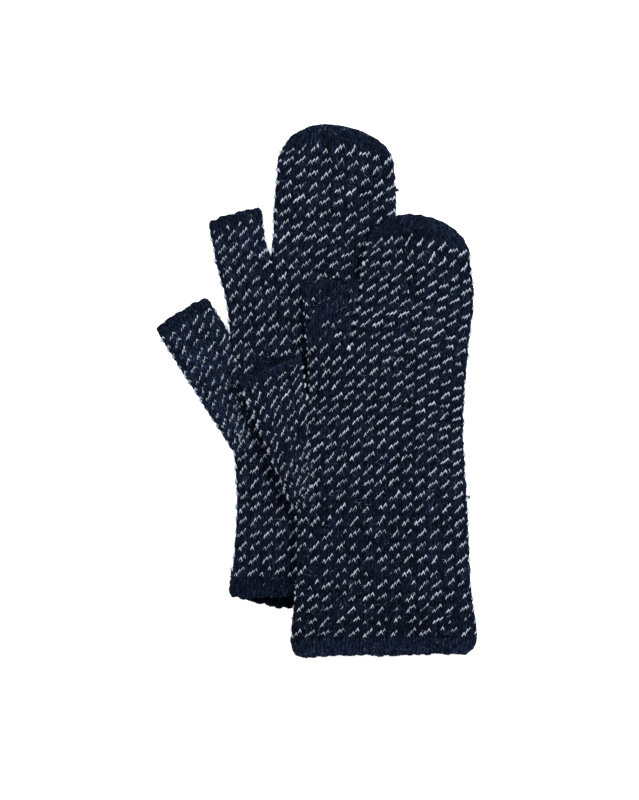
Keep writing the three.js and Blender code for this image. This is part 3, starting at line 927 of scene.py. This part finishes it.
def build_pouch(m, hand, seed, patterned, plain):
    name = m["name"]
    pouch, hand_wale = pouch_tube(m, hand)
    fork_y = m["index"]["crotch"][3]
    fold_y = fork_y + FOLD_ABOVE_FORK
    heights = (pouch.left[:, 1] + pouch.right[:, 1]) / 2
    fold = int(np.argmin(np.abs(heights - fold_y)))
    toe = pouch.courses - TOE_BAND
    flecks = (lambda wale: hand_wale(wale) + m["fleck_start"][0], hand.courses - m["fleck_start"][1])
    base = knit(pouch, f"{name}_pouch_base_knit", 0, fold, seed + 20, flecks, light=m["light"])
    finish_piece(base, patterned, [f"{name}_pouch_base"])
    body = knit(pouch, f"{name}_pouch_knit", fold, toe, seed + 21, flecks, light=m["light"])
    finish_piece(body, patterned, [f"{name}_pouch"])
    cap = knit(pouch, f"{name}_toe_knit", toe, pouch.courses, seed + 22, light=TOE_LIGHT * m["light"])
    finish_piece(cap, plain, [f"{name}_pouch_toe"])
    for piece in (base, body):
        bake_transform(piece)
    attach(cap, f"{name}_pouch")


def build_finger(m, part, finger, seed, flecks, faint, patterned, plain):
    name, top_z = m["name"], THICKNESS + m["lift"]
    edge = finger.courses - FINGER_BAND
    light = m[part]["light"]
    tube = knit(finger, f"{name}_{part}_knit", 0, edge, seed, flecks, faint, light)
    finish_piece(tube, patterned, [f"{name}_{part}"])
    band = knit(finger, f"{name}_{part}_band_knit", edge, finger.last_course(), seed + 1,
                light=BAND_LIGHT, lining=BAND_INSIDE_SHADE)
    finish_piece(band, plain, [f"{name}_{part}_edge"])
    for piece in (tube, band):
        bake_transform(piece)


def build_mitten(m, patterned, plain):
    seed = SEED + (100 if m["name"] == "upper" else 0)
    hand = hand_tube(m)
    build_hand(m, hand, seed, patterned, plain)
    build_pouch(m, hand, seed, patterned, plain)

    split = m["split"]
    wales = 2 * (HAND_WALES // 2 - split + CROTCH_WALES)

    def hand_wale(wale):
        return split + np.clip(wale - CROTCH_WALES, 0, wales - 2 * CROTCH_WALES)

    index = finger_tube([m["index"]["crotch"], m["index"]["tip"]], INDEX_COURSE, wales, m["lift"],
                        m["index"], root=(hand, hand_wale), reaches=(m["fork_fold"], SIDE_FOLD))
    flecks = (lambda wale: hand_wale(wale) + m["fleck_start"][0], hand.courses - m["fleck_start"][1])
    build_finger(m, "index", index, seed + 30, flecks, m["faint_index"], patterned, plain)
    thumb = finger_tube([m["thumb"]["root"], m["thumb"]["crotch"], m["thumb"]["tip"]], THUMB_COURSE,
                        THUMB_WALES, m["lift"], m["thumb"], sink=0.07)
    flecks = (lambda wale: wale, m["thumb_fleck_start"])
    build_finger(m, "thumb", thumb, seed + 40, flecks, m["faint_thumb"], patterned, plain)

    node = f"{m['name']}_yarn_end"
    end = yarn_end(f"{node}_plied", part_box(node), np.random.default_rng(seed + 50), m["yarn_end_reach"])
    finish_piece(end, plain, [node])
    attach(end, m["yarn_end_body"])


# ---- Camera, light and floor ----

FRAME_HEIGHT = 0.488     # metres from the bottom to the top of the image
FRAME_LEVEL = 0.012      # at this height above the floor
VIEW_CENTRE = (0.0015, -0.0058)
CAMERA_HEIGHT = 1.9
HORIZON_TO_ZENITH = ((0.22, 1.0), (0.5, 0.22))     # (height, brightness) of the pale surroundings
LAMPS = {                # where each lamp is, its size and its power
    "key": ((0.85, 0.55, 1.3), 0.35, 19.5),
    "fill": ((-0.9, 0.5, 1.2), 0.8, 7),
}
FLOOR_HALF = 3.0
FLOOR_LEVEL = -0.0001    # just below the fabric


def add_camera():
    """Straight above the pair, looking down."""
    data = bpy.data.cameras.new("camera")
    camera = bpy.data.objects.new("camera", data)
    bpy.context.scene.collection.objects.link(camera)
    data.sensor_fit = "VERTICAL"
    data.sensor_height = 24.0
    data.lens = data.sensor_height * (CAMERA_HEIGHT - FRAME_LEVEL) / FRAME_HEIGHT
    data.clip_start = 0.05
    camera.location = (*VIEW_CENTRE, CAMERA_HEIGHT)
    bpy.context.scene.camera = camera


def add_area_light(name, location, size, power):
    data = bpy.data.lights.new(name, "AREA")
    data.shape = "SQUARE"
    data.size = size
    data.energy = power
    lamp = bpy.data.objects.new(name, data)
    bpy.context.scene.collection.objects.link(lamp)
    lamp.location = location
    lamp.rotation_euler = (-Vector(location)).to_track_quat("-Z", "Y").to_euler()


def add_floor():
    """The white ground that the pair lies on. It glows a little, so that it stays white."""
    mesh = bpy.data.meshes.new("floor")
    corners = [(-1, -1), (1, -1), (1, 1), (-1, 1)]
    points = [(FLOOR_HALF * x, FLOOR_HALF * y, FLOOR_LEVEL) for x, y in corners]
    mesh.from_pydata(points, [], [(0, 1, 2, 3)])
    floor = bpy.data.objects.new("floor", mesh)
    bpy.context.scene.collection.objects.link(floor)
    g = Graph("floor_white")
    shader = g.add("ShaderNodeBsdfPrincipled", Base_Color=(0.8, 0.8, 0.8, 1), Roughness=0.9)
    shader.inputs["Specular IOR Level"].default_value = 0.0
    shader.inputs["Emission Color"].default_value = (1, 1, 1, 1)
    shader.inputs["Emission Strength"].default_value = 0.9
    g.add("ShaderNodeOutputMaterial", Surface=shader.outputs[0])
    mesh.materials.append(g.material)


def add_light():
    """Pale surroundings that darken towards the zenith, and the lamps."""
    world = bpy.data.worlds.new("studio")
    bpy.context.scene.world = world
    world.use_nodes = True
    nodes = world.node_tree.nodes
    link = world.node_tree.links.new
    height = nodes.new("ShaderNodeSeparateXYZ")
    link(nodes.new("ShaderNodeTexCoord").outputs["Generated"], height.inputs[0])
    sky = nodes.new("ShaderNodeValToRGB")
    for element, (position, value) in zip(sky.color_ramp.elements, HORIZON_TO_ZENITH):
        element.position = position
        element.color = (value, value, value, 1)
    link(height.outputs["Z"], sky.inputs[0])
    link(sky.outputs[0], nodes["Background"].inputs["Color"])
    for name, (location, size, power) in LAMPS.items():
        add_area_light(name, location, size, power)
    bpy.context.scene.view_settings.view_transform = "Standard"
    bpy.context.scene.view_settings.look = "None"


add_camera()
add_light()
add_floor()
patterned_knit = knit_material("patterned_knit")
plain_knit = knit_material("plain_knit")
for mitten in (LOWER, UPPER):
    build_mitten(mitten, patterned_knit, plain_knit)
